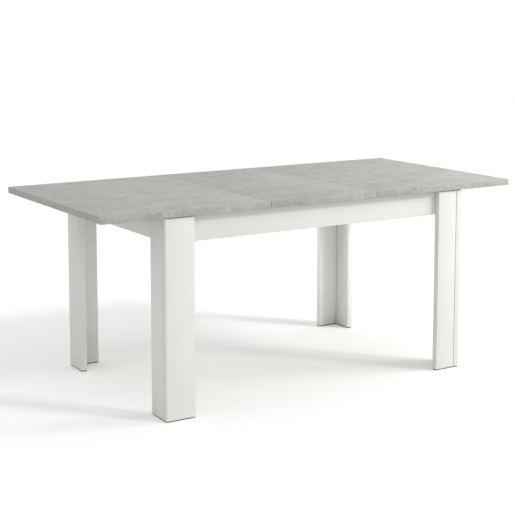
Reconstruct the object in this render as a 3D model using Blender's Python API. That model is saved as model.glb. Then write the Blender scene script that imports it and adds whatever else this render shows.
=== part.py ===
"""Extendable dining table: a white frame on four L-shaped board legs, with a concrete-look top in two
sliding halves and one loose leaf between them.

Metres, +Z up. +X runs along the table and -Y is its front. The origin is on the floor under the middle
of the table. The table is modelled open: both halves are drawn out and the leaf lies in the opening.
"""

import math

import bmesh
import bpy
from mathutils import Matrix

# The table as a whole
TABLE_HEIGHT = 0.785
CLOSED_LENGTH = 1.400
TOP_DEPTH = 0.900
TOP_THICKNESS = 0.025
LEAF_LENGTH = 0.500
SEAM_GAP = 0.0015

# Frame: the legs stand just inside the edge of the closed top
END_INSET = 0.005
SIDE_INSET = 0.008
LEG_WIDTH = 0.120
LEG_BOARD = 0.025
APRON_BOARD = 0.018
APRON_HEIGHT = 0.097
BOARD_ARRIS = 0.0008
TOP_ARRIS = 0.0010

# Floor glides, a strip under each leg board
GLIDE_HEIGHT = 0.004
GLIDE_INSET = 0.002

# Slide pads that carry the top a little above the frame
PAD_HEIGHT = 0.003
PAD_LENGTH = 0.060
PAD_WIDTH = 0.012
END_PAD_OFFSET = 0.300
SIDE_PAD_OFFSET = 0.180

# Guide channels, folded from steel sheet and open towards the middle of the table
CHANNEL_HEIGHT = 0.030
CHANNEL_DEPTH = 0.016
CHANNEL_SHEET = 0.0015
CHANNEL_TOP_DROP = 0.005
CHANNEL_END_GAP = 0.004
STOP_LENGTH = 0.020

# Runners under the halves, and the shoes on them that slide in the channels
RUNNER_WIDTH = 0.022
RUNNER_HEIGHT = 0.040
RUNNER_CHANNEL_GAP = 0.002
RUNNER_SEAM_SETBACK = 0.006
SHOE_LENGTH = 0.050
SHOE_CLEARANCE = 0.0005
OVERTRAVEL = 0.040
STOP_CLEARANCE = 0.001

# Corner blocks and the cross rails that the spare leaf is stored on
BLOCK_SIDE = 0.060
BLOCK_NOSE = 0.018
BLOCK_HEIGHT = 0.040
BLOCK_CLEARANCE = 0.006
RAIL_WIDTH = 0.020
RAIL_OFFSET = 0.300
RAIL_RISE = 0.004
STORED_LEAF_CLEARANCE = 0.013

# Battens under the leaf
BATTEN_WIDTH = 0.050
BATTEN_THICKNESS = 0.018
BATTEN_OFFSET = 0.165
BATTEN_CLEARANCE = 0.001

# Gap kept between pieces that touch on the real table
TOUCH = 0.0003

# Each corner's name, its side of the table along X and Y, the turn of its block, and whether the wide
# board of its leg runs across the front or the back
CORNERS = (
    ("front_left", -1, -1, 0.0, True),
    ("front_right", 1, -1, 90.0, False),
    ("rear_right", 1, 1, 180.0, True),
    ("rear_left", -1, 1, 270.0, False),
)

# Places worked out from the sizes above
TOP_UNDERSIDE = TABLE_HEIGHT - TOP_THICKNESS
FRAME_TOP = TOP_UNDERSIDE - PAD_HEIGHT
APRON_BOTTOM = FRAME_TOP - APRON_HEIGHT
FRAME_X = CLOSED_LENGTH / 2 - END_INSET
FRAME_Y = TOP_DEPTH / 2 - SIDE_INSET
APRON_OUTER_X = FRAME_X - LEG_BOARD
APRON_OUTER_Y = FRAME_Y - LEG_BOARD
APRON_INNER_X = APRON_OUTER_X - APRON_BOARD
APRON_INNER_Y = APRON_OUTER_Y - APRON_BOARD
OPENING_X = LEAF_LENGTH / 2
CHANNEL_X = APRON_INNER_X - CHANNEL_END_GAP
CHANNEL_TOP = FRAME_TOP - CHANNEL_TOP_DROP
CHANNEL_BOTTOM = CHANNEL_TOP - CHANNEL_HEIGHT
CHANNEL_LIP_Y = APRON_INNER_Y - TOUCH - CHANNEL_DEPTH
STOP_X = CHANNEL_X - STOP_LENGTH
RUNNER_OUTER_Y = CHANNEL_LIP_Y - RUNNER_CHANNEL_GAP
RUNNER_INNER_Y = RUNNER_OUTER_Y - RUNNER_WIDTH
RUNNER_OUTER_X = STOP_X - STOP_CLEARANCE - OVERTRAVEL
RUNNER_INNER_X = OPENING_X + RUNNER_SEAM_SETBACK
RUNNER_BOTTOM = TOP_UNDERSIDE - TOUCH - RUNNER_HEIGHT
BLOCK_TOP = min(CHANNEL_BOTTOM, RUNNER_BOTTOM) - BLOCK_CLEARANCE
STORED_LEAF_DEPTH = TOP_THICKNESS + BATTEN_THICKNESS + STORED_LEAF_CLEARANCE
RAIL_TOP = min(TOP_UNDERSIDE - STORED_LEAF_DEPTH, RUNNER_BOTTOM - BLOCK_CLEARANCE)


def clear_scene():
    for old in list(bpy.data.objects):
        bpy.data.objects.remove(old, do_unlink=True)


def material(name, colour, roughness, metallic=0.0):
    made = bpy.data.materials.new(name)
    made.use_nodes = True
    shader = made.node_tree.nodes["Principled BSDF"]
    shader.inputs["Base Color"].default_value = (*colour, 1.0)
    shader.inputs["Roughness"].default_value = roughness
    shader.inputs["Metallic"].default_value = metallic
    return made


def empty(name):
    made = bpy.data.objects.new(name, None)
    bpy.context.scene.collection.objects.link(made)
    return made


def place(name, mesh, finish, parent, location, turn=0.0):
    """Adds an object for a mesh, turned about Z by a number of degrees."""
    made = bpy.data.objects.new(name, mesh)
    bpy.context.scene.collection.objects.link(made)
    if not mesh.materials:
        mesh.materials.append(finish)
    made.parent = parent
    made.location = location
    made.rotation_euler = (0.0, 0.0, math.radians(turn))
    return made


def arris(piece, width):
    edge = piece.modifiers.new("Arris", "BEVEL")
    edge.width = width
    edge.segments = 1
    edge.limit_method = "ANGLE"


def board(name, low, high, finish, parent, edge=BOARD_ARRIS):
    """A rectangular board between two corners, with its edges eased."""
    size = [h - l for l, h in zip(low, high)]
    middle = [(l + h) / 2 for l, h in zip(low, high)]
    shape = bmesh.new()
    bmesh.ops.create_cube(shape, size=1.0, matrix=Matrix.Diagonal((*size, 1.0)))
    mesh = bpy.data.meshes.new(name)
    shape.to_mesh(mesh)
    shape.free()
    made = place(name, mesh, finish, parent, middle)
    arris(made, edge)
    return made


def extruded(name, outline, depth, axis):
    """A mesh from a closed outline in the plane across an axis, centred along that axis."""
    shape = bmesh.new()
    if axis == "X":
        points = [(-depth / 2, a, b) for a, b in outline]
        push = (depth, 0.0, 0.0)
    else:
        points = [(a, b, -depth / 2) for a, b in outline]
        push = (0.0, 0.0, depth)
    face = shape.faces.new([shape.verts.new(p) for p in points])
    grown = bmesh.ops.extrude_face_region(shape, geom=[face])
    moved = [v for v in grown["geom"] if isinstance(v, bmesh.types.BMVert)]
    bmesh.ops.translate(shape, verts=moved, vec=push)
    bmesh.ops.recalc_face_normals(shape, faces=shape.faces)
    mesh = bpy.data.meshes.new(name)
    shape.to_mesh(mesh)
    shape.free()
    return mesh


def leg(corner, side_x, side_y, wide_across, white, polyethylene, frame):
    """One leg: a wide board that covers the edge of a narrow one, with a glide strip under each.

    The wide board faces the front or the back if wide_across is true, and otherwise the table's end.
    """
    end = FRAME_X * side_x
    face = FRAME_Y * side_y
    in_x = (FRAME_X - LEG_BOARD) * side_x
    in_y = (FRAME_Y - LEG_BOARD) * side_y
    far_x = (FRAME_X - LEG_WIDTH) * side_x
    far_y = (FRAME_Y - LEG_WIDTH) * side_y
    if wide_across:
        boards = {"wide": (end, far_x, face, in_y), "narrow": (end, in_x, in_y - TOUCH * side_y, far_y)}
    else:
        boards = {"wide": (end, in_x, face, far_y), "narrow": (in_x - TOUCH * side_x, far_x, face, in_y)}
    for width, (x0, x1, y0, y1) in boards.items():
        low = (min(x0, x1), min(y0, y1), GLIDE_HEIGHT)
        high = (max(x0, x1), max(y0, y1), FRAME_TOP)
        board(f"leg_{corner}_{width}_board", low, high, white, frame)
        low = (low[0] + GLIDE_INSET, low[1] + GLIDE_INSET, 0.0)
        high = (high[0] - GLIDE_INSET, high[1] - GLIDE_INSET, GLIDE_HEIGHT - TOUCH)
        board(f"glide_{corner}_{width}", low, high, polyethylene, frame)


def aprons(white, frame):
    """The long aprons reach from leg side to leg side, and the end aprons fit between them."""
    low_z = APRON_BOTTOM
    long_x = APRON_OUTER_X - TOUCH
    end_y = APRON_INNER_Y - TOUCH
    for name, side in (("front", -1), ("rear", 1)):
        faces = sorted(((APRON_OUTER_Y - TOUCH) * side, APRON_INNER_Y * side))
        board(f"apron_{name}", (-long_x, faces[0], low_z), (long_x, faces[1], FRAME_TOP), white, frame)
    for name, side in (("left", -1), ("right", 1)):
        faces = sorted(((APRON_OUTER_X - TOUCH) * side, APRON_INNER_X * side))
        board(f"apron_{name}", (faces[0], -end_y, low_z), (faces[1], end_y, FRAME_TOP), white, frame)


def slide_pads(nylon, frame):
    low_z = FRAME_TOP + TOUCH
    high_z = TOP_UNDERSIDE - TOUCH
    end_line = APRON_OUTER_X - APRON_BOARD / 2
    side_line = APRON_OUTER_Y - APRON_BOARD / 2
    for end, side_x in (("left", -1), ("right", 1)):
        for face, side_y in (("front", -1), ("rear", 1)):
            x = end_line * side_x
            y = END_PAD_OFFSET * side_y
            low = (x - PAD_WIDTH / 2, y - PAD_LENGTH / 2, low_z)
            high = (x + PAD_WIDTH / 2, y + PAD_LENGTH / 2, high_z)
            board(f"end_pad_{face}_{end}", low, high, nylon, frame)
            x = SIDE_PAD_OFFSET * side_x
            y = side_line * side_y
            low = (x - PAD_LENGTH / 2, y - PAD_WIDTH / 2, low_z)
            high = (x + PAD_LENGTH / 2, y + PAD_WIDTH / 2, high_z)
            board(f"side_pad_{face}_{end}", low, high, nylon, frame)


def corner_blocks(wood, frame):
    """Triangular blocks with blunt noses that tie each pair of aprons together."""
    outline = [
        (0.0, 0.0),
        (BLOCK_SIDE, 0.0),
        (BLOCK_SIDE, BLOCK_NOSE),
        (BLOCK_NOSE, BLOCK_SIDE),
        (0.0, BLOCK_SIDE),
    ]
    mesh = extruded("corner_block", outline, BLOCK_HEIGHT, "Z")
    for corner, side_x, side_y, turn, _ in CORNERS:
        location = (
            (APRON_INNER_X - TOUCH) * side_x,
            (APRON_INNER_Y - TOUCH) * side_y,
            BLOCK_TOP - BLOCK_HEIGHT / 2,
        )
        arris(place(f"corner_block_{corner}", mesh, wood, frame, location, turn), BOARD_ARRIS)


def cross_rails(wood, frame):
    reach = APRON_INNER_Y - TOUCH
    for name, side in (("left", -1), ("right", 1)):
        x = RAIL_OFFSET * side
        low = (x - RAIL_WIDTH / 2, -reach, APRON_BOTTOM + RAIL_RISE)
        high = (x + RAIL_WIDTH / 2, reach, RAIL_TOP)
        board(f"cross_rail_{name}", low, high, wood, frame)


def guide_channels(steel, rubber, frame):
    """A channel along each long apron, with a stop in each of its ends."""
    web = 0.0
    lip = CHANNEL_DEPTH
    half = CHANNEL_HEIGHT / 2
    inner = half - CHANNEL_SHEET
    outline = [
        (web, -half), (lip, -half), (lip, -inner), (CHANNEL_SHEET, -inner),
        (CHANNEL_SHEET, inner), (lip, inner), (lip, half), (web, half),
    ]
    mesh = extruded("guide_channel", outline, 2 * CHANNEL_X, "X")
    middle_z = (CHANNEL_TOP + CHANNEL_BOTTOM) / 2
    stop_z = inner - TOUCH
    for name, side, turn in (("front", -1, 0), ("rear", 1, 180)):
        location = (0.0, (APRON_INNER_Y - TOUCH) * side, middle_z)
        place(f"guide_channel_{name}", mesh, steel, frame, location, turn)
        depth = sorted((CHANNEL_LIP_Y * side, (APRON_INNER_Y - 2 * TOUCH - CHANNEL_SHEET) * side))
        for end, side_x in (("left", -1), ("right", 1)):
            ends = sorted((CHANNEL_X * side_x, STOP_X * side_x))
            low = (ends[0], depth[0], middle_z - stop_z)
            high = (ends[1], depth[1], middle_z + stop_z)
            board(f"end_stop_{name}_{end}", low, high, rubber, frame)


def top_half(name, side, laminate, wood, nylon):
    """One half of the top, with its two runners and their shoes. side is -1 for the left half."""
    group = empty(f"{name}_half_group")
    group.location = (OPENING_X * side, 0.0, 0.0)
    far = CLOSED_LENGTH / 2

    def span(near, outer):
        return sorted((near * side, outer * side))

    ends = span(0.0, far)
    depth = TOP_DEPTH / 2
    board(
        f"{name}_top",
        (ends[0], -depth, TOP_UNDERSIDE),
        (ends[1], depth, TABLE_HEIGHT),
        laminate,
        group,
        TOP_ARRIS,
    )
    near = RUNNER_INNER_X - OPENING_X
    outer = RUNNER_OUTER_X - OPENING_X
    shoe_z = (CHANNEL_TOP + CHANNEL_BOTTOM) / 2
    shoe_half = CHANNEL_HEIGHT / 2 - CHANNEL_SHEET - SHOE_CLEARANCE
    shoe_wall = APRON_INNER_Y - TOUCH - CHANNEL_SHEET - SHOE_CLEARANCE
    for face, side_y in (("front", -1), ("rear", 1)):
        ends = span(near, outer)
        width = sorted((RUNNER_OUTER_Y * side_y, RUNNER_INNER_Y * side_y))
        low = (ends[0], width[0], RUNNER_BOTTOM)
        high = (ends[1], width[1], TOP_UNDERSIDE - TOUCH)
        board(f"{name}_runner_{face}", low, high, wood, group)
        width = sorted((shoe_wall * side_y, (RUNNER_OUTER_Y + TOUCH) * side_y))
        for place_name, start in (("inner", near), ("outer", outer - SHOE_LENGTH)):
            ends = span(start, start + SHOE_LENGTH)
            low = (ends[0], width[0], shoe_z - shoe_half)
            high = (ends[1], width[1], shoe_z + shoe_half)
            board(f"{name}_shoe_{face}_{place_name}", low, high, nylon, group)


def leaf(laminate, wood):
    """The loose leaf that fills the opening, with the two battens that keep it flat and centred."""
    group = empty("leaf_group")
    half = OPENING_X - SEAM_GAP
    depth = TOP_DEPTH / 2
    board(
        "extension_leaf",
        (-half, -depth, TOP_UNDERSIDE),
        (half, depth, TABLE_HEIGHT),
        laminate,
        group,
        TOP_ARRIS,
    )
    reach = CHANNEL_LIP_Y - BATTEN_CLEARANCE
    for name, side in (("left", -1), ("right", 1)):
        x = BATTEN_OFFSET * side
        low = (x - BATTEN_WIDTH / 2, -reach, TOP_UNDERSIDE - TOUCH - BATTEN_THICKNESS)
        high = (x + BATTEN_WIDTH / 2, reach, TOP_UNDERSIDE - TOUCH)
        board(f"leaf_batten_{name}", low, high, wood, group)


def build():
    clear_scene()
    laminate = material("concrete_laminate", (0.47, 0.475, 0.44), 0.55)
    white = material("white_melamine", (0.77, 0.775, 0.74), 0.45)
    wood = material("beech", (0.62, 0.45, 0.28), 0.6)
    steel = material("zinc_plated_steel", (0.62, 0.63, 0.64), 0.35, 1.0)
    nylon = material("white_nylon", (0.74, 0.73, 0.69), 0.45)
    polyethylene = material("grey_polyethylene", (0.16, 0.16, 0.165), 0.5)
    rubber = material("black_rubber", (0.03, 0.03, 0.03), 0.8)
    frame = empty("frame_group")
    for corner, side_x, side_y, _, wide_across in CORNERS:
        leg(corner, side_x, side_y, wide_across, white, polyethylene, frame)
    aprons(white, frame)
    slide_pads(nylon, frame)
    corner_blocks(wood, frame)
    cross_rails(wood, frame)
    guide_channels(steel, rubber, frame)
    top_half("left", -1, laminate, wood, nylon)
    top_half("right", 1, laminate, wood, nylon)
    leaf(laminate, wood)


build()
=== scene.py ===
"""Finished looks of the extendable dining table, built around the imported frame.

Boards get real edge banding and eased arrises, the hidden timber gets its grain, and screws, bolts and
cam fittings are set out by Geometry Nodes. Lengths are in metres in the frame's own axes.
"""

import math

import bmesh
import bpy
from mathutils import Matrix, Vector


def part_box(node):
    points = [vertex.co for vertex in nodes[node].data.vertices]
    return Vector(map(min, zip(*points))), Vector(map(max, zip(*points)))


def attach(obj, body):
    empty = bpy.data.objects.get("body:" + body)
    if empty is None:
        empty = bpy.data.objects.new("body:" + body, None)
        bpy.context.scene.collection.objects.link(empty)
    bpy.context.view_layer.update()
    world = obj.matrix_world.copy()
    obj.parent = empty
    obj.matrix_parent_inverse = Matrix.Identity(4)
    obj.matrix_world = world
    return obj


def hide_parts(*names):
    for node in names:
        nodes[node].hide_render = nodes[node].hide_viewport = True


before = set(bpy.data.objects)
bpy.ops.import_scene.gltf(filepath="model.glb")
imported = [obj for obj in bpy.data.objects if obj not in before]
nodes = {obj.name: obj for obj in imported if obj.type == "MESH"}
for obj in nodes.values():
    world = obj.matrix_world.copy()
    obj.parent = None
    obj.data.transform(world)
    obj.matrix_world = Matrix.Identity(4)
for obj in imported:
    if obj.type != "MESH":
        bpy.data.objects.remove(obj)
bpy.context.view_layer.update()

# Camera
CAMERA_PLACE = (-2.730, -4.357, 1.503)
CAMERA_TURN = math.radians(-31.77)
CAMERA_DIP = math.radians(7.12)
CAMERA_LENS = 86.95
CAMERA_SHIFT_DOWN = 0.18

# Sky, key light and floor
SKY_LIGHT = 0.79
KEY_STRENGTH = 0.90
KEY_COLOUR = (1.0, 0.995, 0.985)
KEY_SIZE = math.radians(9.0)
KEY_HEIGHT = math.radians(32.0)
KEY_BEARING = math.radians(41.5)
FLOOR_RADIUS = 60.0
FLOOR_SEEN = (0.89, 0.89, 0.8811)
FLOOR_BOUNCE = (0.85, 0.85, 0.8415)
FLOOR_GLOW = 0.165
PURE_WHITE = (1.0, 1.0, 1.0, 1.0)

# Fill lights
RIGHT_FILL = {"place": (2.4, -1.3, 1.9), "target": (0.65, -0.2, 0.5), "size": 1.0, "power": 24.0}
REAR_RIGHT_LEG = (0.58, 0.32, 0.38)
REAR_LEFT_LEG = (-0.60, 0.35, 0.38)
SPOT_BLEND = 0.7

# Spots on the rear legs: name, place, target, cone in degrees, power in watts, radius
LEG_SPOTS = (
    ("rear_leg_front", (-0.83, -1.69, 0.30), REAR_RIGHT_LEG, 18.0, 40.0, 0.12),
    ("rear_left_front", (0.25, -1.60, 0.30), REAR_LEFT_LEG, 18.0, 18.0, 0.12),
    ("rear_leg_left", (-0.90, 1.60, 0.40), REAR_RIGHT_LEG, 22.0, 44.0, 0.30),
    ("rear_leg_right", (1.70, -1.00, 0.40), REAR_RIGHT_LEG, 26.0, 22.0, 0.30),
)

# Colours
CONCRETE = (0.432, 0.435, 0.408)
WHITE = (0.762, 0.769, 0.732)
BAND_WHITE = (0.762, 0.769, 0.738)

# Boards and timber
BAND = 0.0010
GLUE_LINE = 0.0002
JOINT_EASE = 0.0024
BOARD_RADIUS = 0.0014
TIMBER_RADIUS = 0.0015
BLOCK_NOSE_SHARE = 0.3
BLOCK_SQUARE_EDGE = 0.0005
BLOCK_SIDE_EDGE = 0.002
BLOCK_NOSE_EDGE = 0.004
ROUND_STEPS = 3
SMOOTH_ANGLE = math.radians(35)
FLAT = 0.00002
CUT_TOLERANCE = 1e-7

# Metal and plastic
CHANNEL_SHEET = 0.0015
CHANNEL_BEND = 0.0025
CHANNEL_INNER_BEND = 0.0010
CHANNEL_EDGE = 0.0004
SHOE_END = 0.0040
SHOE_NOTCH = 0.0040
SHOE_NOTCH_DEPTH = 0.0012
SHOE_NOTCH_EDGE = 0.0003
GLIDE_EDGE = 0.0010
GLIDE_TOP_EDGE = 0.0003
GLIDE_GROOVE = 0.0016
GLIDE_GROOVE_DEPTH = 0.0007
GLIDE_GROOVE_EDGE = 0.0002
PAD_CORNER = 0.0050
PAD_EDGE = 0.0006
STOP_CORNER = 0.0040
STOP_EDGE = 0.0012

# Places of the fasteners
RUNNER_SCREWS = 4
RUNNER_SCREW_INSET = 0.035
BATTEN_SCREWS = 6
BATTEN_SCREW_INSET = 0.045
CHANNEL_SCREWS = 9
CHANNEL_SCREW_INSET = 0.045
RAIL_CAMS = 2
RAIL_CAM_INSET = 0.034
BLOCK_SCREW_SHARES = (0.32, 0.68)
BOLT_CLEARANCE = 0.014
BOLT_RISE = 0.0011

# Drives cut into the fasteners' heads
SIZE_INPUTS = ("Head Radius", "Seat Radius", "Head Height", "Drive Width", "Drive Depth")
HEAD_SIDES = 32
HEX_SIDES = 6
CUTTER_LENGTH = 0.02
BAR_SHARE = 0.26


# ---------------------------------------------------------------- node helpers
class Tree:
    """Short calls that add, set and join the nodes of one tree."""

    def __init__(self, tree):
        self.tree = tree

    def node(self, kind, **settings):
        made = self.tree.nodes.new(kind)
        for setting, value in settings.items():
            setattr(made, setting, value)
        return made

    def link(self, source, target):
        self.tree.links.new(source, target)

    def feed(self, node, socket, value):
        """Links a socket to another, or sets its value."""
        if isinstance(value, bpy.types.NodeSocket):
            self.link(value, node.inputs[socket])
        else:
            node.inputs[socket].default_value = value

    def maths(self, operation, first, second=0.0):
        made = self.node("ShaderNodeMath", operation=operation)
        self.feed(made, 0, first)
        self.feed(made, 1, second)
        return made.outputs["Value"]


class Shader(Tree):
    """A material's node tree with one Principled BSDF, and short calls for the nodes used here."""

    def __init__(self, name, **sockets):
        self.material = bpy.data.materials.new(name)
        self.material.use_nodes = True
        super().__init__(self.material.node_tree)
        self.surface = self.tree.nodes["Principled BSDF"]
        self.place = self.node("ShaderNodeTexCoord").outputs["Object"]
        for socket, value in sockets.items():
            self.surface.inputs[socket.replace("_", " ")].default_value = value

    def mapped(self, scale=(1, 1, 1), move=(0, 0, 0), turn=(0, 0, 0), source=None):
        made = self.node("ShaderNodeMapping")
        self.link(source or self.place, made.inputs["Vector"])
        made.inputs["Location"].default_value = move
        made.inputs["Rotation"].default_value = turn
        made.inputs["Scale"].default_value = scale
        return made.outputs["Vector"]

    def noise(self, place, scale, detail=4.0, rough=0.55, bend=0.0):
        made = self.node("ShaderNodeTexNoise")
        self.link(place, made.inputs["Vector"])
        made.inputs["Scale"].default_value = scale
        made.inputs["Detail"].default_value = detail
        made.inputs["Roughness"].default_value = rough
        made.inputs["Distortion"].default_value = bend
        return made.outputs["Fac"]

    def cells(self, place, scale, output="Distance"):
        made = self.node("ShaderNodeTexVoronoi", feature="F1")
        self.link(place, made.inputs["Vector"])
        made.inputs["Scale"].default_value = scale
        return made.outputs[output]

    def remap(self, value, low, high, to_low=0.0, to_high=1.0, smooth=False):
        made = self.node("ShaderNodeMapRange")
        made.interpolation_type = "SMOOTHSTEP" if smooth else "LINEAR"
        self.link(value, made.inputs["Value"])
        sockets = ("From Min", "From Max", "To Min", "To Max")
        for socket, number in zip(sockets, (low, high, to_low, to_high)):
            made.inputs[socket].default_value = number
        return made.outputs["Result"]

    def ramp(self, value, *stops):
        """A colour ramp from (position, colour) stops."""
        made = self.node("ShaderNodeValToRGB")
        self.link(value, made.inputs["Fac"])
        bar = made.color_ramp.elements
        while len(bar) < len(stops):
            bar.new(0.5)
        for element, (position, colour) in zip(bar, stops):
            element.position = position
            element.color = (*colour, 1.0)
        return made.outputs["Color"]

    def blend(self, share, first, second):
        made = self.node("ShaderNodeMix", data_type="RGBA")
        self.feed(made, "Factor", share)
        for socket, value in (("A", first), ("B", second)):
            target = [s for s in made.inputs if s.name == socket and s.type == "RGBA"][0]
            if isinstance(value, bpy.types.NodeSocket):
                self.link(value, target)
            else:
                target.default_value = (*value, 1.0)
        return [s for s in made.outputs if s.type == "RGBA"][0]

    def bump(self, height, strength, depth):
        made = self.node("ShaderNodeBump")
        made.inputs["Strength"].default_value = strength
        made.inputs["Distance"].default_value = depth
        self.link(height, made.inputs["Height"])
        return made.outputs["Normal"]

    def finish(self, colour, roughness, normal=None):
        for socket, value in (("Base Color", colour), ("Roughness", roughness), ("Normal", normal)):
            if value is not None:
                self.link(value, self.surface.inputs[socket])
        return self.material


# ---------------------------------------------------------------- materials
def concrete(name, move, shade=1.0):
    """Concrete-look laminate: soft clouds, short trowel drags, speckle, fine grit, pores and hair veins."""
    s = Shader(name, Specular_IOR_Level=0.3)

    def tint(share):
        return tuple(shade * share * c for c in CONCRETE)

    base = s.mapped(move=move)
    clouds = s.noise(base, scale=4.6, detail=5.0, rough=0.58, bend=0.30)
    patches = s.noise(base, scale=15.0, detail=5.0, rough=0.60, bend=0.2)
    trowel = s.mapped(scale=(1.0, 2.6, 2.0), turn=(0, 0, 0.30), source=base)
    drag = s.noise(trowel, scale=9.0, detail=6.0, rough=0.66, bend=0.9)
    wiped = s.mapped(scale=(1.0, 1.7, 1.0), turn=(0, 0, 0.5), source=base)
    smear = s.noise(wiped, scale=46.0, detail=4.0, rough=0.7)
    speckle = s.noise(base, scale=175.0, detail=4.0, rough=0.85)
    grit = s.noise(base, scale=520.0, detail=3.0, rough=0.75)

    tone = 0.0
    layers = [(clouds, 0.30, 0.17), (drag, 0.32, 0.27), (patches, 0.30, 0.20)]
    layers += [(smear, 0.30, 0.34), (speckle, 0.30, 0.85), (grit, 0.28, 0.62)]
    for layer, low, weight in layers:
        tone = s.maths("ADD", tone, s.remap(layer, low, 1.0 - low, -weight, weight))
    tone = s.remap(tone, -1.5, 1.5)
    colour = s.ramp(tone, (0.12, tint(0.62)), (0.5, tint(1.0)), (0.88, tint(1.38)))

    vein_map = s.mapped(scale=(1.0, 2.4, 1.0), turn=(0, 0, -0.62), source=base)
    vein = s.noise(vein_map, scale=2.1, detail=5.0, bend=0.6)
    vein = s.maths("ABSOLUTE", s.maths("SUBTRACT", vein, 0.5))
    vein = s.remap(vein, 0.0, 0.012, 1.0, 0.0, smooth=True)
    vein = s.maths("MULTIPLY", vein, s.remap(clouds, 0.46, 0.60, 0.0, 0.35))
    colour = s.blend(vein, colour, tint(1.32))

    pore = s.remap(s.cells(base, scale=150.0), 0.06, 0.16, 1.0, 0.0)
    pore = s.maths("MULTIPLY", pore, s.remap(patches, 0.50, 0.60, 0.0, 0.55))
    colour = s.blend(pore, colour, tint(0.55))

    rough = s.remap(s.maths("ADD", patches, s.maths("MULTIPLY", grit, 0.5)), 0.5, 1.0, 0.58, 0.72)
    height = s.maths("ADD", grit, s.maths("MULTIPLY", patches, 1.6))
    height = s.maths("SUBTRACT", height, s.maths("MULTIPLY", pore, 1.2))
    return s.finish(colour, rough, s.bump(height, strength=0.35, depth=0.0002))


def melamine(name, colour, variance=0.012):
    """Laminate in one colour: a fine pearl texture with hardly any change of tone."""
    s = Shader(name)
    drift = s.noise(s.place, scale=6.0, detail=3.0)
    fleck = s.noise(s.place, scale=240.0, detail=2.0, rough=0.7)
    pearl = s.noise(s.place, scale=900.0, detail=2.0, rough=0.6)
    darker = tuple(c * (1 - 3 * variance) for c in colour)
    lighter = tuple(min(1.0, c * (1 + variance)) for c in colour)
    tone = s.maths("ADD", s.maths("MULTIPLY", drift, 0.3), s.maths("MULTIPLY", fleck, 0.5))
    tone = s.maths("ADD", tone, s.maths("MULTIPLY", pearl, 0.2))
    base = s.ramp(tone, (0.38, darker), (0.62, lighter))
    rough = s.remap(pearl, 0.3, 0.7, 0.40, 0.50)
    return s.finish(base, rough, s.bump(pearl, strength=0.18, depth=0.0001))


def glue_line(name, colour):
    """A hard glue line, a little darker in places."""
    s = Shader(name)
    grain = s.noise(s.place, scale=300.0, detail=2.0)
    darker = tuple(c * 0.8 for c in colour)
    return s.finish(s.ramp(grain, (0.3, darker), (0.7, colour)), s.remap(grain, 0.3, 0.7, 0.55, 0.75))


def chipboard():
    """Raw particleboard, where a hidden edge has no band."""
    s = Shader("chipboard_raw")
    dark, middle, pale = (0.23, 0.15, 0.085), (0.42, 0.30, 0.18), (0.60, 0.47, 0.31)
    chips = s.cells(s.mapped(scale=(1.0, 1.0, 2.2)), scale=420.0, output="Color")
    split = s.node("ShaderNodeSeparateColor")
    s.link(chips, split.inputs["Color"])
    dust = s.noise(s.place, scale=700.0, detail=3.0)
    colour = s.ramp(split.outputs["Red"], (0.0, dark), (0.45, middle), (1.0, pale))
    colour = s.blend(s.remap(dust, 0.35, 0.65, 0.0, 0.35), colour, (0.31, 0.22, 0.14))
    height = s.maths("ADD", split.outputs["Green"], dust)
    rough = s.remap(dust, 0.3, 0.7, 0.75, 0.92)
    return s.finish(colour, rough, s.bump(height, strength=0.5, depth=0.0004))


def beech(name, along):
    """Planed beech with its grain and ray flecks along X or Y."""
    s = Shader(name)
    dark, middle, pale = (0.49, 0.315, 0.18), (0.60, 0.415, 0.255), (0.68, 0.50, 0.33)
    laid = s.mapped(turn=(0, 0, 0.0 if along == "X" else math.pi / 2))
    grain = s.mapped(scale=(1.4, 34.0, 34.0), source=laid)
    growth = s.noise(grain, scale=3.0, detail=5.0, rough=0.6, bend=0.5)
    fibre = s.noise(s.mapped(scale=(9.0, 260.0, 260.0), source=laid), scale=4.0, detail=3.0, rough=0.7)
    fleck = s.cells(s.mapped(scale=(90.0, 620.0, 620.0), source=laid), scale=1.0)
    colour = s.ramp(growth, (0.28, dark), (0.52, middle), (0.74, pale))
    colour = s.blend(s.remap(fibre, 0.35, 0.70, 0.0, 0.40), colour, (0.46, 0.29, 0.165))
    colour = s.blend(s.remap(fleck, 0.10, 0.24, 0.45, 0.0), colour, (0.36, 0.21, 0.11))
    rough = s.remap(fibre, 0.3, 0.7, 0.50, 0.66)
    return s.finish(colour, rough, s.bump(s.maths("ADD", fibre, growth), strength=0.25, depth=0.0002))


def steel(name, tint, rough_low, rough_high):
    """Plated or darkened steel with a fine rolled texture and a cloudy sheen."""
    s = Shader(name, Metallic=1.0)
    cloud = s.noise(s.place, scale=38.0, detail=5.0, rough=0.65)
    rolled = s.noise(s.mapped(scale=(12.0, 700.0, 700.0)), scale=2.0, detail=2.0)
    darker = tuple(c * 0.82 for c in tint)
    colour = s.ramp(cloud, (0.30, darker), (0.72, tint))
    sheen = s.maths("ADD", s.maths("MULTIPLY", cloud, 0.6), s.maths("MULTIPLY", rolled, 0.4))
    rough = s.remap(sheen, 0.3, 0.7, rough_low, rough_high)
    return s.finish(colour, rough, s.bump(rolled, strength=0.12, depth=0.00005))


def moulded(name, colour, rough, grain, depth):
    """Moulded plastic or rubber with a fine grained skin."""
    s = Shader(name)
    skin = s.noise(s.place, scale=grain, detail=3.0, rough=0.6)
    drift = s.noise(s.place, scale=24.0, detail=2.0)
    darker = tuple(c * 0.86 for c in colour)
    base = s.ramp(drift, (0.3, darker), (0.7, colour))
    sheen = s.remap(skin, 0.3, 0.7, rough - 0.06, rough + 0.06)
    return s.finish(base, sheen, s.bump(skin, strength=0.3, depth=depth))


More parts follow.
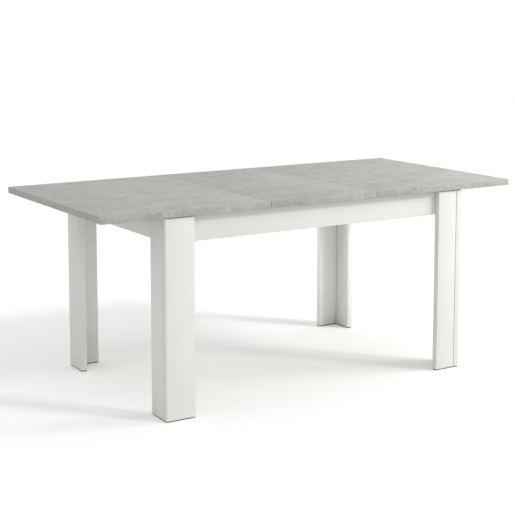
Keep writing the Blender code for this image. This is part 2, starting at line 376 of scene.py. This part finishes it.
finishes = {
    "left_top": concrete("concrete_left", (0.31, 1.70, 0.0)),
    "right_top": concrete("concrete_right", (4.15, 0.42, 0.0), shade=1.03),
    "extension_leaf": concrete("concrete_leaf", (8.60, 3.05, 0.0), shade=0.97),
    "concrete_band": concrete("concrete_band", (2.2, 5.1, 0.7), shade=0.92),
    "concrete_glue": glue_line("concrete_glue_line", (0.30, 0.30, 0.28)),
    "backing": melamine("grey_backing_sheet", (0.34, 0.34, 0.325), variance=0.03),
    "white": melamine("white_melamine", WHITE),
    "white_band": melamine("white_edge_band", BAND_WHITE),
    "white_glue": glue_line("white_glue_line", (0.50, 0.49, 0.45)),
    "chipboard": chipboard(),
    "beech_x": beech("beech_along_table", "X"),
    "beech_y": beech("beech_across_table", "Y"),
    "channel": steel("zinc_plated_channel", (0.66, 0.67, 0.68), 0.26, 0.42),
    "screw": steel("zinc_screw", (0.72, 0.70, 0.62), 0.22, 0.36),
    "bolt": steel("dark_steel_bolt", (0.12, 0.12, 0.125), 0.30, 0.45),
    "nylon": moulded("white_nylon", (0.74, 0.73, 0.69), 0.42, 600.0, 0.0001),
    # Glide plastic, near-black: partly the plastic's own dark tone, partly painted shade standing in for
    # the contact shadow under each leg
    "glide": moulded("grey_polyethylene", (0.055, 0.055, 0.058), 0.48, 500.0, 0.0001),
    "rubber": moulded("black_rubber", (0.025, 0.025, 0.026), 0.72, 350.0, 0.0002),
}


# ---------------------------------------------------------------- shapes
def link_new(name, data):
    """A new object in the scene, at the origin until it is placed."""
    made = bpy.data.objects.new(name, data)
    bpy.context.scene.collection.objects.link(made)
    return made


def named(part):
    """The nodes whose names hold this part, in order of name."""
    return sorted(node for node in nodes if part in node)


def add_finished(node, shape, materials, body):
    """Turns a bmesh into the finished piece that stands in for a node and rides on its body."""
    name = f"{node}_finished"
    mesh = bpy.data.meshes.new(name)
    shape.to_mesh(mesh)
    shape.free()
    for made in materials:
        mesh.materials.append(finishes[made])
    mesh.shade_smooth()
    mesh.set_sharp_from_angle(angle=SMOOTH_ANGLE)
    piece = link_new(name, mesh)
    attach(piece, body)
    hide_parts(node)


def round_edges(shape, edges, radius):
    bmesh.ops.bevel(shape, geom=edges, offset=radius, segments=ROUND_STEPS, profile=0.5, affect="EDGES")


def rounded_box(low, high, radius):
    shape = bmesh.new()
    place = Matrix.Translation((low + high) / 2) @ Matrix.Diagonal((*(high - low), 1.0))
    bmesh.ops.create_cube(shape, size=1.0, matrix=place)
    round_edges(shape, shape.edges[:], radius)
    return shape


def thin_axis(low, high):
    size = high - low
    return min(range(3), key=lambda axis: size[axis])


def cut_edge_line(shape, low, high, axis, side, depth):
    """Cuts a board's faces along a line that runs at a depth from one of its edges."""
    point = Vector((0.0, 0.0, 0.0))
    point[axis] = low[axis] + depth if side < 0 else high[axis] - depth
    normal = Vector((0.0, 0.0, 0.0))
    normal[axis] = 1.0
    geometry = shape.verts[:] + shape.edges[:] + shape.faces[:]
    bmesh.ops.bisect_plane(shape, geom=geometry, plane_co=point, plane_no=normal, dist=CUT_TOLERANCE)


def banded_board(node, body, slot, face, back, band, glue, raw=(), eased=()):
    """A veneered board in place of a CAD board, with a glued band round every edge that isn't raw.

    face and back finish the board's two sides. raw lists edges without a band, as "-x" or "+z", and
    eased lists edges drawn back for an open joint.
    """
    low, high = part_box(node)
    for sign, axis_name in eased:
        corner, inward = (low, 1) if sign == "-" else (high, -1)
        corner["xyz".index(axis_name)] += JOINT_EASE * inward
    across = thin_axis(low, high)
    halfway = (low[across] + high[across]) / 2
    edges = [(axis, side) for axis in range(3) if axis != across for side in (-1, 1)]
    raw_edges = [(axis, side) for axis, side in edges if f"{'-+'[side > 0]}{'xyz'[axis]}" in raw]
    banded = [edge for edge in edges if edge not in raw_edges]

    def inside(point, axis, side):
        return (point[axis] - low[axis]) if side < 0 else (high[axis] - point[axis])

    shape = rounded_box(low, high, BOARD_RADIUS)
    for axis, side in banded:
        for depth in (BAND, BAND + GLUE_LINE):
            cut_edge_line(shape, low, high, axis, side, depth)
    face_side, back_side, band_side, glue_side, raw_side = range(5)
    for polygon in shape.faces:
        middle = polygon.calc_center_median()
        depth = min((inside(middle, *edge) for edge in banded), default=1.0)
        if depth < BAND:
            polygon.material_index = band_side
        elif any(inside(middle, *edge) < FLAT for edge in raw_edges):
            polygon.material_index = raw_side
        elif depth < BAND + GLUE_LINE:
            polygon.material_index = glue_side
        else:
            polygon.material_index = face_side if middle[across] > halfway else back_side
    add_finished(node, shape, (face, back, band, glue, "chipboard"), body)


def timber(node, body, finish):
    add_finished(node, rounded_box(*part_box(node), TIMBER_RADIUS), (finish,), body)


def prism(outline, axis, low, high):
    """A closed outline in the plane across an axis, drawn out from low to high along it."""
    shape = bmesh.new()
    others = [n for n in range(3) if n != axis]
    rings = []
    for level in (low, high):
        ring = []
        for point in outline:
            place = [0.0, 0.0, 0.0]
            place[axis] = level
            place[others[0]], place[others[1]] = point
            ring.append(shape.verts.new(place))
        rings.append(ring)
    bottom, top = rings
    for n in range(len(outline)):
        shape.faces.new((bottom[n - 1], bottom[n], top[n], top[n - 1]))
    shape.faces.new(bottom)
    shape.faces.new(top)
    bmesh.ops.recalc_face_normals(shape, faces=shape.faces)
    return shape


def filleted(corners, steps=4):
    """Rounds each (across, up, radius) corner of a closed outline with an arc of a few steps."""
    made = []
    count = len(corners)
    for n, (*corner, bend) in enumerate(corners):
        here = Vector(corner)
        before = (Vector(corners[n - 1][:2]) - here).normalized()
        after = (Vector(corners[(n + 1) % count][:2]) - here).normalized()
        angle = before.angle(after)
        reach = bend / math.tan(angle / 2)
        start, end = here + before * reach, here + after * reach
        centre = here + (before + after).normalized() * (bend / math.sin(angle / 2))
        from_angle = math.atan2(*(start - centre).yx)
        sweep = (math.atan2(*(end - centre).yx) - from_angle + math.pi) % (2 * math.pi) - math.pi
        for step in range(steps + 1):
            turned = from_angle + sweep * step / steps
            made.append((centre.x + bend * math.cos(turned), centre.y + bend * math.sin(turned)))
    return made


def grooves(middles, width, level, depth, edge):
    """Outline corners of square grooves cut from a level; a negative depth cuts downwards."""
    steps = ((-1, 0.0), (-1, depth), (1, depth), (1, 0.0))
    return [(middle + step * width / 2, level + drop, edge) for middle in middles for step, drop in steps]


# ---------------------------------------------------------------- boards
WHITE_BOARD = ("white_melamine", "white", "white", "white_band", "white_glue")


def joint_edge(node):
    """The edge of a leg's narrow board that meets its wide board, as "-x" or "+y"."""
    low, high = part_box(node)
    wide_low, wide_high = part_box(node.replace("narrow", "wide"))
    for axis in (0, 1):
        if wide_high[axis] < low[axis]:
            return "-" + "xyz"[axis]
        if wide_low[axis] > high[axis]:
            return "+" + "xyz"[axis]


for node, body in (("left_top", "left_half"), ("right_top", "right_half"), ("extension_leaf", "leaf")):
    banded_board(node, body, "concrete_laminate", node, "backing", "concrete_band", "concrete_glue")

for node in named("leg_"):
    eased = (joint_edge(node),) if "narrow" in node else ()
    banded_board(node, "frame", *WHITE_BOARD, raw=("-z", "+z"), eased=eased)

for side, ends in (("front", "x"), ("rear", "x"), ("left", "y"), ("right", "y")):
    banded_board(f"apron_{side}", "frame", *WHITE_BOARD, raw=("+z", f"-{ends}", f"+{ends}"))


# ---------------------------------------------------------------- hidden timber
def block_corner(node):
    """The square corner of a corner block, and the way it points in from there along X and along Y."""
    low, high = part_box(node)
    in_x = 1 if low.x < 0 else -1
    in_y = 1 if low.y < 0 else -1
    return Vector((low.x if in_x > 0 else high.x, low.y if in_y > 0 else high.y)), in_x, in_y


def corner_block(node):
    """A triangular block with a blunt nose; the square corner lies against the two aprons."""
    low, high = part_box(node)
    corner, in_x, in_y = block_corner(node)
    side = high.x - low.x
    nose = side * BLOCK_NOSE_SHARE
    outline = [(0, 0, BLOCK_SQUARE_EDGE), (side, 0, BLOCK_SIDE_EDGE), (side, nose, BLOCK_NOSE_EDGE)]
    outline += [(nose, side, BLOCK_NOSE_EDGE), (0, side, BLOCK_SIDE_EDGE)]
    outline = [(corner.x + x * in_x, corner.y + y * in_y) for x, y in filleted(outline)]
    add_finished(node, prism(outline, 2, low.z, high.z), ("beech_x",), "frame")


for side in ("left", "right"):
    timber(f"cross_rail_{side}", "frame", "beech_y")
    timber(f"leaf_batten_{side}", "leaf", "beech_y")
    for face in ("front", "rear"):
        timber(f"{side}_runner_{face}", f"{side}_half", "beech_x")

for node in named("corner_block_"):
    corner_block(node)


# ---------------------------------------------------------------- metal and plastic
def guide_channel(node, side):
    """The folded sheet channel, with true bends inside and out."""
    low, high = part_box(node)
    back, lip = (low.y, high.y) if side < 0 else (high.y, low.y)
    inner = back - CHANNEL_SHEET * side
    bottom, top = low.z + CHANNEL_SHEET, high.z - CHANNEL_SHEET
    outline = [(back, low.z, CHANNEL_BEND), (lip, low.z, CHANNEL_EDGE), (lip, bottom, CHANNEL_EDGE)]
    outline += [(inner, bottom, CHANNEL_INNER_BEND), (inner, top, CHANNEL_INNER_BEND)]
    outline += [(lip, top, CHANNEL_EDGE), (lip, high.z, CHANNEL_EDGE), (back, high.z, CHANNEL_BEND)]
    shape = prism(filleted(outline), 0, low.x, high.x)
    add_finished(node, shape, ("channel",), "frame")


def shoe(node, body):
    """A nylon shoe with rounded ends and two grease notches in each rubbing face."""
    low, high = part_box(node)
    length = high.x - low.x
    marks = (low.x + length / 3, high.x - length / 3)
    under = grooves(marks, SHOE_NOTCH, low.z, SHOE_NOTCH_DEPTH, SHOE_NOTCH_EDGE)
    over = grooves(marks, SHOE_NOTCH, high.z, -SHOE_NOTCH_DEPTH, SHOE_NOTCH_EDGE)
    outline = [(low.x, low.z, SHOE_END), *under, (high.x, low.z, SHOE_END)]
    outline += [(high.x, high.z, SHOE_END), *reversed(over), (low.x, high.z, SHOE_END)]
    add_finished(node, prism(filleted(outline), 1, low.y, high.y), ("nylon",), body)


def glide_strip(node):
    """A moulded glide strip with rounded edges and two grooves in its sole."""
    low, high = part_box(node)
    along = 0 if high.x - low.x > high.y - low.y else 1
    near, far = low[1 - along], high[1 - along]
    marks = [near + (far - near) * share for share in (1 / 3, 2 / 3)]
    sole = grooves(marks, GLIDE_GROOVE, low.z, GLIDE_GROOVE_DEPTH, GLIDE_GROOVE_EDGE)
    outline = [(near, low.z, GLIDE_EDGE), *sole, (far, low.z, GLIDE_EDGE)]
    outline += [(far, high.z, GLIDE_TOP_EDGE), (near, high.z, GLIDE_TOP_EDGE)]
    shape = prism(filleted(outline), along, low[along], high[along])
    # The near-black glide finish is partly painted shade: the dark strip stands in for the contact shadow
    # line under the leg board
    add_finished(node, shape, ("glide",), "frame")


def moulded_block(node, finish, axis, corner, edge):
    """A block with rounded corners round one axis and eased edges at its two ends."""
    low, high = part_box(node)
    first, second = [n for n in range(3) if n != axis]
    outline = [(low[first], low[second], corner), (high[first], low[second], corner)]
    outline += [(high[first], high[second], corner), (low[first], high[second], corner)]
    shape = prism(filleted(outline, steps=6), axis, low[axis], high[axis])
    rims = [e for e in shape.edges if abs(e.verts[0].co[axis] - e.verts[1].co[axis]) < FLAT]
    round_edges(shape, rims, edge)
    add_finished(node, shape, (finish,), "frame")


guide_channel("guide_channel_front", -1)
guide_channel("guide_channel_rear", 1)

for node in named("_shoe_"):
    shoe(node, node.split("_")[0] + "_half")

for node in named("glide_"):
    glide_strip(node)

for node in named("end_stop_"):
    moulded_block(node, "rubber", 1, STOP_CORNER, STOP_EDGE)

for node in named("_pad_"):
    moulded_block(node, "nylon", 2, PAD_CORNER, PAD_EDGE)


# ---------------------------------------------------------------- fasteners
class Fasteners(Tree):
    """A Geometry Nodes tree that sets a headed fastener on each point, facing its outward direction."""

    def __init__(self, name, hex_socket):
        super().__init__(bpy.data.node_groups.new(name, "GeometryNodeTree"))
        face = self.tree.interface
        face.new_socket("Geometry", in_out="OUTPUT", socket_type="NodeSocketGeometry")
        face.new_socket("Geometry", in_out="INPUT", socket_type="NodeSocketGeometry")
        self.inputs = {}
        for label in SIZE_INPUTS:
            socket = face.new_socket(label, in_out="INPUT", socket_type="NodeSocketFloat")
            self.inputs[label] = socket.identifier
        socket = face.new_socket("Finish", in_out="INPUT", socket_type="NodeSocketMaterial")
        self.inputs["Finish"] = socket.identifier
        self.taken = self.node("NodeGroupInput").outputs
        self.set_on_points(self.head(self.hex_drive if hex_socket else self.cross_drive))

    def head(self, drive):
        """A conical head with its drive cut out of the top."""
        head = self.node("GeometryNodeMeshCone")
        head.inputs["Vertices"].default_value = HEAD_SIDES
        self.link(self.taken["Head Radius"], head.inputs["Radius Top"])
        self.link(self.taken["Seat Radius"], head.inputs["Radius Bottom"])
        self.link(self.taken["Head Height"], head.inputs["Depth"])
        floor = self.maths("SUBTRACT", self.taken["Head Height"], self.taken["Drive Depth"])
        cutter, height = drive(floor)
        lift = self.node("ShaderNodeCombineXYZ")
        self.link(height, lift.inputs["Z"])
        move = self.node("GeometryNodeTransform")
        self.link(lift.outputs["Vector"], move.inputs["Translation"])
        self.link(cutter, move.inputs["Geometry"])
        cut = self.node("GeometryNodeMeshBoolean", operation="DIFFERENCE", solver="EXACT")
        self.link(head.outputs["Mesh"], cut.inputs["Mesh 1"])
        self.link(move.outputs["Geometry"], cut.inputs["Mesh 2"])
        return cut.outputs["Mesh"]

    def hex_drive(self, floor):
        """The cutter of a hexagon socket, and the height of its middle above the socket's floor."""
        drive = self.node("GeometryNodeMeshCylinder")
        drive.inputs["Vertices"].default_value = HEX_SIDES
        drive.inputs["Depth"].default_value = CUTTER_LENGTH
        self.link(self.taken["Drive Width"], drive.inputs["Radius"])
        return drive.outputs["Mesh"], self.maths("ADD", floor, CUTTER_LENGTH / 2)

    def cross_drive(self, floor):
        """The cutter of a cross recess, two heads tall, and the height of its middle."""
        wide = self.taken["Drive Width"]
        thin = self.maths("MULTIPLY", wide, BAR_SHARE)
        tall = self.maths("MULTIPLY", self.taken["Head Height"], 2.0)
        cross = self.node("GeometryNodeMeshBoolean", operation="UNION", solver="EXACT")
        for sides in ((wide, thin, tall), (thin, wide, tall)):
            size = self.node("ShaderNodeCombineXYZ")
            for axis, length in zip("XYZ", sides):
                self.link(length, size.inputs[axis])
            bar = self.node("GeometryNodeMeshCube")
            self.link(size.outputs["Vector"], bar.inputs["Size"])
            self.link(bar.outputs["Mesh"], cross.inputs["Mesh 2"])
        return cross.outputs["Mesh"], self.maths("ADD", floor, self.taken["Head Height"])

    def set_on_points(self, fastener):
        outward = self.node("GeometryNodeInputNamedAttribute", data_type="FLOAT_VECTOR")
        outward.inputs["Name"].default_value = "outward"
        align = self.node("FunctionNodeAlignRotationToVector", axis="Z")
        self.link(outward.outputs["Attribute"], align.inputs["Vector"])
        copies = self.node("GeometryNodeInstanceOnPoints")
        self.link(self.taken["Geometry"], copies.inputs["Points"])
        self.link(fastener, copies.inputs["Instance"])
        self.link(align.outputs["Rotation"], copies.inputs["Rotation"])
        real = self.node("GeometryNodeRealizeInstances")
        self.link(copies.outputs["Instances"], real.inputs["Geometry"])
        paint = self.node("GeometryNodeSetMaterial")
        self.link(real.outputs["Geometry"], paint.inputs["Geometry"])
        self.link(self.taken["Finish"], paint.inputs["Material"])
        given = self.node("NodeGroupOutput")
        self.link(paint.outputs["Geometry"], given.inputs["Geometry"])

    def set_out(self, name, points, sizes, finish, body):
        """One piece with a fastener at each (place, outward direction)."""
        mesh = bpy.data.meshes.new(f"{name}_points")
        mesh.from_pydata([place for place, _ in points], [], [])
        facing = mesh.attributes.new("outward", "FLOAT_VECTOR", "POINT")
        for item, (_, direction) in zip(facing.data, points):
            item.vector = direction
        holder = link_new(f"{name}_points", mesh)
        modifier = holder.modifiers.new("Fasteners", "NODES")
        modifier.node_group = self.tree
        for label, value in sizes.items():
            modifier[self.inputs[label]] = value
        modifier[self.inputs["Finish"]] = finishes[finish]
        bpy.context.view_layer.update()
        graph = bpy.context.evaluated_depsgraph_get()
        made = bpy.data.meshes.new_from_object(holder.evaluated_get(graph))
        bpy.data.objects.remove(holder)
        made.name = name
        piece = link_new(name, made)
        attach(piece, body)


def fastener(head, seat, height, drive, depth):
    """A fastener's sizes: the radii of its top and its seat, its height, and its drive."""
    return dict(zip(SIZE_INPUTS, (head, seat, height, drive, depth)))


SCREW = fastener(head=0.0040, seat=0.0034, height=0.0008, drive=0.0046, depth=0.0006)
SMALL_SCREW = fastener(head=0.0034, seat=0.0030, height=0.0003, drive=0.0038, depth=0.0002)
BOLT = fastener(head=0.0052, seat=0.0066, height=0.0036, drive=0.0024, depth=0.0026)
WASHER = fastener(head=0.0088, seat=0.0090, height=0.0012, drive=0.0032, depth=0.0004)
CAM = fastener(head=0.0073, seat=0.0075, height=0.0010, drive=0.0072, depth=0.0008)
cross_heads = Fasteners("Cross-head fasteners", False)
socket_heads = Fasteners("Socket-head fasteners", True)


def row(start, end, count):
    """Evenly spaced places from start to end."""
    start, end = Vector(start), Vector(end)
    return [start.lerp(end, n / (count - 1)) for n in range(count)]


def under_timbers(timbers, count, inset, axis):
    """Places along the undersides of these timbers, facing down."""
    points = []
    for node in timbers:
        low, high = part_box(node)
        middle = (low + high) / 2
        start, end = middle.copy(), middle.copy()
        start[axis], end[axis] = low[axis] + inset, high[axis] - inset
        start.z = end.z = low.z
        points += [(place, (0, 0, -1)) for place in row(start, end, count)]
    return points


def in_channels():
    """Places along the web of each guide channel, facing into the table."""
    points = []
    for node, inward in (("guide_channel_front", 1), ("guide_channel_rear", -1)):
        low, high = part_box(node)
        web = (low.y if inward > 0 else high.y) + CHANNEL_SHEET * inward
        height = (low.z + high.z) / 2
        start = (low.x + CHANNEL_SCREW_INSET, web, height)
        end = (high.x - CHANNEL_SCREW_INSET, web, height)
        points += [(place, (0, inward, 0)) for place in row(start, end, CHANNEL_SCREWS)]
    return points


def on_corner_blocks():
    """Two places up the slanting face of each corner block."""
    points = []
    for node in named("corner_block_"):
        low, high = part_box(node)
        corner, in_x, in_y = block_corner(node)
        reach = (high.x - low.x) * (1 + BLOCK_NOSE_SHARE) / 2
        for share in BLOCK_SCREW_SHARES:
            height = low.z + (high.z - low.z) * share
            place = (corner.x + reach * in_x, corner.y + reach * in_y, height)
            points.append((place, Vector((in_x, in_y, 0.0)).normalized()))
    return points


def through_aprons():
    """Places for a bolt through each apron into each leg board, just clear of the corner block."""
    inner_x = abs(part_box("apron_left")[1].x)
    inner_y = abs(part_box("apron_front")[1].y)
    points = []
    for end, end_name in ((-1, "left"), (1, "right")):
        for face, face_name in ((-1, "front"), (1, "rear")):
            low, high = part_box(f"corner_block_{face_name}_{end_name}")
            height = (low.z + high.z) / 2
            block_x = high.x if end < 0 else low.x
            block_y = high.y if face < 0 else low.y
            points.append(((block_x - BOLT_CLEARANCE * end, inner_y * face, height), (0, -face, 0)))
            points.append(((inner_x * end, block_y - BOLT_CLEARANCE * face, height), (-end, 0, 0)))
    return points


for side in ("left", "right"):
    runners = (f"{side}_runner_front", f"{side}_runner_rear")
    places = under_timbers(runners, RUNNER_SCREWS, RUNNER_SCREW_INSET, 0)
    cross_heads.set_out(f"{side}_runner_screws", places, SCREW, "screw", f"{side}_half")

battens = ("leaf_batten_left", "leaf_batten_right")
places = under_timbers(battens, BATTEN_SCREWS, BATTEN_SCREW_INSET, 1)
cross_heads.set_out("leaf_batten_screws", places, SCREW, "screw", "leaf")

cross_heads.set_out("channel_screws", in_channels(), SMALL_SCREW, "screw", "frame")
cross_heads.set_out("corner_block_screws", on_corner_blocks(), SCREW, "screw", "frame")

rails = ("cross_rail_left", "cross_rail_right")
places = under_timbers(rails, RAIL_CAMS, RAIL_CAM_INSET, 1)
cross_heads.set_out("cross_rail_cams", places, CAM, "screw", "frame")

places = through_aprons()
socket_heads.set_out("leg_bolt_washers", places, WASHER, "screw", "frame")
places = [(Vector(place) + Vector(direction) * BOLT_RISE, direction) for place, direction in places]
socket_heads.set_out("leg_bolts", places, BOLT, "bolt", "frame")


# ---------------------------------------------------------------- floor, light and camera
def studio_floor():
    """A plain floor that shows brighter to the camera than the light it throws back."""
    shape = bmesh.new()
    bmesh.ops.create_circle(shape, cap_ends=True, segments=64, radius=FLOOR_RADIUS)
    mesh = bpy.data.meshes.new("studio_floor")
    shape.to_mesh(mesh)
    shape.free()
    floor = link_new("studio_floor", mesh)
    s = Shader("studio_floor", Roughness=0.9, Specular_IOR_Level=0.0, Emission_Color=PURE_WHITE)
    ray = s.node("ShaderNodeLightPath").outputs["Is Camera Ray"]
    s.link(s.blend(ray, FLOOR_BOUNCE, FLOOR_SEEN), s.surface.inputs["Base Color"])
    s.link(s.maths("MULTIPLY", ray, FLOOR_GLOW), s.surface.inputs["Emission Strength"])
    mesh.materials.append(s.material)


def sky():
    """A plain white sky, dimmer for the light it gives than it shows to the camera."""
    world = bpy.data.worlds.new("studio")
    world.use_nodes = True
    s = Tree(world.node_tree)
    strength = s.node("ShaderNodeMapRange")
    strength.inputs["To Min"].default_value = SKY_LIGHT
    strength.inputs["To Max"].default_value = 1.0
    s.link(s.node("ShaderNodeLightPath").outputs["Is Camera Ray"], strength.inputs["Value"])
    back = s.tree.nodes["Background"]
    back.inputs["Color"].default_value = PURE_WHITE
    s.link(strength.outputs["Result"], back.inputs["Strength"])
    bpy.context.scene.world = world


def key_light():
    data = bpy.data.lights.new("key", "SUN")
    data.energy = KEY_STRENGTH
    data.angle = KEY_SIZE
    data.color = KEY_COLOUR
    key = link_new("key", data)
    key.rotation_euler = (math.pi / 2 - KEY_HEIGHT, 0.0, KEY_BEARING)


def aim(name, data, place, target):
    """Sets a light at a place and turns it to face a target."""
    light = link_new(name, data)
    light.location = place
    light.rotation_euler = (Vector(target) - Vector(place)).to_track_quat("-Z", "Y").to_euler()


def soft_box(name, place, target, size, power):
    data = bpy.data.lights.new(name, "AREA")
    data.shape = "DISK"
    data.size = size
    data.energy = power
    aim(name, data, place, target)


def soft_spot(name, place, target, cone, power, radius):
    data = bpy.data.lights.new(name, "SPOT")
    data.spot_size = math.radians(cone)
    data.spot_blend = SPOT_BLEND
    data.shadow_soft_size = radius
    data.energy = power
    aim(name, data, place, target)


def camera():
    data = bpy.data.cameras.new("camera")
    data.lens = CAMERA_LENS
    data.shift_y = -CAMERA_SHIFT_DOWN
    made = link_new("camera", data)
    made.location = CAMERA_PLACE
    made.rotation_euler = (math.pi / 2 - CAMERA_DIP, 0.0, CAMERA_TURN)
    bpy.context.scene.camera = made


studio_floor()
sky()
key_light()
soft_box("right_fill", **RIGHT_FILL)
for spot in LEG_SPOTS:
    soft_spot(*spot)
camera()
bpy.context.scene.view_settings.view_transform = "Standard"
